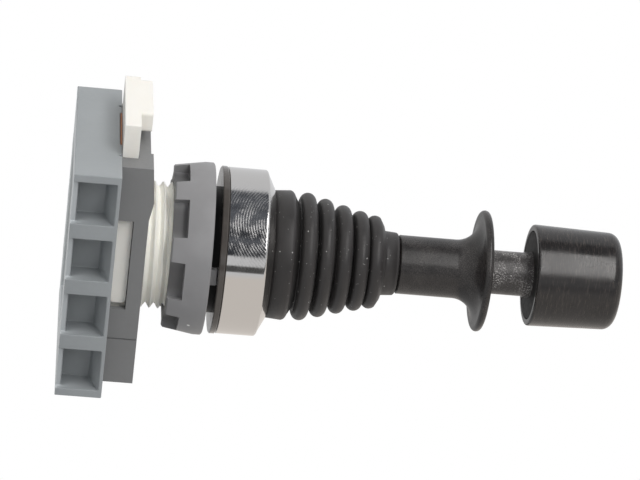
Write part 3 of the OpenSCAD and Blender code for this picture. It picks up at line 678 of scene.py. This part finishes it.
def make_thread():
    """The threaded tube as one lathed skin, walked up its outside and down its bore."""
    crest = reach_of("threaded_tube")
    bottom, top = heights_of("threaded_tube")
    groove_low = heights_of("lock_slide")[0] - GROOVE_PLAY
    groove_high = groove_low + GROOVE_WIDTH
    groove_r = crest - GROOVE_DEPTH
    bore = reach_of("spring_seat")
    socket = reach_of("plunger_guide")
    socket_floor = heights_of("plunger_guide")[0]
    start, stop = groove_high + LAND_LOW, top - LAND_HIGH
    reach = thread_reach(crest, start, stop)
    rows = [(bore, bottom), (crest - CHAMFER, bottom), (crest, bottom + CHAMFER), (crest, groove_low),
            (groove_r, groove_low), (groove_r, groove_high), (crest, groove_high)]
    rows += [(reach, start + (stop - start) * i / THREAD_ROWS) for i in range(THREAD_ROWS + 1)]
    rows += [(crest, top), (socket, top), (socket, socket_floor), (bore, socket_floor)]
    piece = lathe("threaded_tube_helical", rows, "thread_white", steps=THREAD_STEPS)
    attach(piece, "base")
    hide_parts("threaded_tube")


# ---- floor ----------------------------------------------------------------------------------

FLOOR_HALF = 1.5
FLOOR_DROP = 0.05 * MM        # keeps the floor clear of the plate's rear face
FLOOR_COLOUR = (0.86, 0.86, 0.86)


def paint_floor():
    """Matt and pale, clear from below. Bounced light passes it where the plate stands."""
    paint = bpy.data.materials.new("floor")
    paint.use_nodes = True
    g = Graph(paint.node_tree)
    reach = g.vector("ABSOLUTE", g.at)
    reach = g.math("MAXIMUM", g.along((1, 0, 0), at=reach), g.along((0, 1, 0), at=reach))
    under_plate = g.math("LESS_THAN", reach, reach_of("adapter_plate"))
    bounced = g.math("SUBTRACT", 1.0, g.node("ShaderNodeLightPath").outputs["Is Camera Ray"])
    from_below = g.node("ShaderNodeNewGeometry").outputs["Backfacing"]
    matt = g.node("ShaderNodeBsdfDiffuse")
    g.put(matt.inputs["Color"], FLOOR_COLOUR)
    clear = g.node("ShaderNodeBsdfTransparent")
    mixed = g.node("ShaderNodeMixShader")
    g.put(mixed.inputs[0], g.math("MAXIMUM", from_below, g.math("MULTIPLY", under_plate, bounced)))
    g.put(mixed.inputs[1], matt.outputs[0])
    g.put(mixed.inputs[2], clear.outputs[0])
    result = g.node("ShaderNodeOutputMaterial")
    g.put(result.inputs[0], mixed.outputs[0])
    return paint


def make_stage():
    """A floor behind the plate, which the lever stands up from."""
    size = FLOOR_HALF
    z = CAD_BOX[0][2] - FLOOR_DROP
    corners = [(-size, -size, z), (size, -size, z), (size, size, z), (-size, size, z)]
    mesh = bpy.data.meshes.new("floor")
    mesh.from_pydata(corners, [], [(0, 1, 2, 3)])
    mesh.materials.append(paint_floor())
    add_object("floor", mesh)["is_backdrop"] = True


# ---- light ----------------------------------------------------------------------------------

WHITE = (1, 1, 1)
AMBIENT = (0.5, 0.5, 0.5)
STREAK = (0.10, 0.10, 0.10)
ROOM_DARK = (0.035, 0.038, 0.045)
ROOM_LIGHT = (0.13, 0.14, 0.16)
LAMP_COLOUR = (1, 0.98, 0.96)
LAMP_DISTANCE = 0.6
SOFTBOX = (0.16, 0.56)        # width along the lever, height round it


def make_world():
    """White for the camera and an even grey for the shade. Gloss sees a white studio whose side
    towards the camera is dark. Directions are turned about the lever, in degrees above the camera's
    side."""
    world = bpy.data.worlds.new("studio")
    bpy.context.scene.world = world
    world.use_nodes = True
    g = Graph(world.node_tree, "Generated", 1.0)
    rise = g.math("ARCTAN2", g.along(ABOVE), g.along(-FORWARD))
    rise = g.math("MULTIPLY", rise, 180 / pi)
    aside = g.math("ABSOLUTE", g.along(ALONG))
    room = g.band(rise, (-8, -5), (90, 95))
    room = g.math("MULTIPLY", room, g.span(aside, 0.25, 0.6, 1, 0.35))
    streak = g.band(rise, (-30, -28), (-21, -19))
    bright = g.mix(g.span(rise, -40, -30), srgb(232, 226, 220), srgb(226, 227, 229))
    dim = g.mix(g.span(g.noise(2.2), 0.35, 0.65), ROOM_DARK, ROOM_LIGHT)
    gloss = g.mix(room, g.mix(streak, bright, STREAK), dim)
    rays = g.node("ShaderNodeLightPath")
    diffuse = g.mix(rays.outputs["Is Camera Ray"], AMBIENT, WHITE)
    diffuse = g.mix(rays.outputs["Is Transmission Ray"], diffuse, WHITE)
    light = g.node("ShaderNodeBackground")
    g.put(light.inputs["Color"], g.mix(rays.outputs["Is Glossy Ray"], diffuse, gloss))
    result = g.node("ShaderNodeOutputWorld")
    g.put(result.inputs[0], light.outputs[0])


def add_lamp(name, direction, width, height, power, gloss=True):
    """A softbox aimed at the middle of the part; its height runs round the lever's axis."""
    low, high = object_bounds()
    middle = (low + high) / 2
    outward = direction.normalized()
    across = (ALONG - ALONG.dot(outward) * outward).normalized()
    rising = outward.cross(across)
    data = bpy.data.lights.new(name, "AREA")
    data.shape = "RECTANGLE"
    data.size = width
    data.size_y = height
    data.energy = power
    data.color = LAMP_COLOUR
    lamp = add_object(name, data)
    lamp.matrix_world = axes_at(across, rising, outward, middle + outward * LAMP_DISTANCE)
    lamp.visible_glossy = gloss


def make_lamps():
    """Two tall softboxes beside the camera, seen by the gloss, and three that only fill the shade."""
    front = 0.75 * -FORWARD + 0.5 * ABOVE
    aside = 0.44 * ALONG
    add_lamp("softbox_left", front - aside, *SOFTBOX, 1.8)
    add_lamp("softbox_right", front + aside, *SOFTBOX, 1.8)
    add_lamp("fill_front", 0.6 * -FORWARD + 0.7 * ABOVE, 0.5, 0.5, 0.5, gloss=False)
    add_lamp("fill_top", ABOVE + 0.25 * AWAY + 0.2 * UP, 0.5, 0.5, 1.0, gloss=False)
    add_lamp("fill_side", 0.6 * -FORWARD + 0.35 * ABOVE - 0.9 * ALONG, 0.4, 0.4, 1.7, gloss=False)


# ---- the scene ------------------------------------------------------------------------------

bpy.context.scene.view_settings.view_transform = "Standard"
dress_nodes()
make_camera()
make_bellows()
make_springs()
make_thread()
for node_name, edge_width in EDGES.items():
    soften(node_name, edge_width)
make_stage()
make_world()
make_lamps()
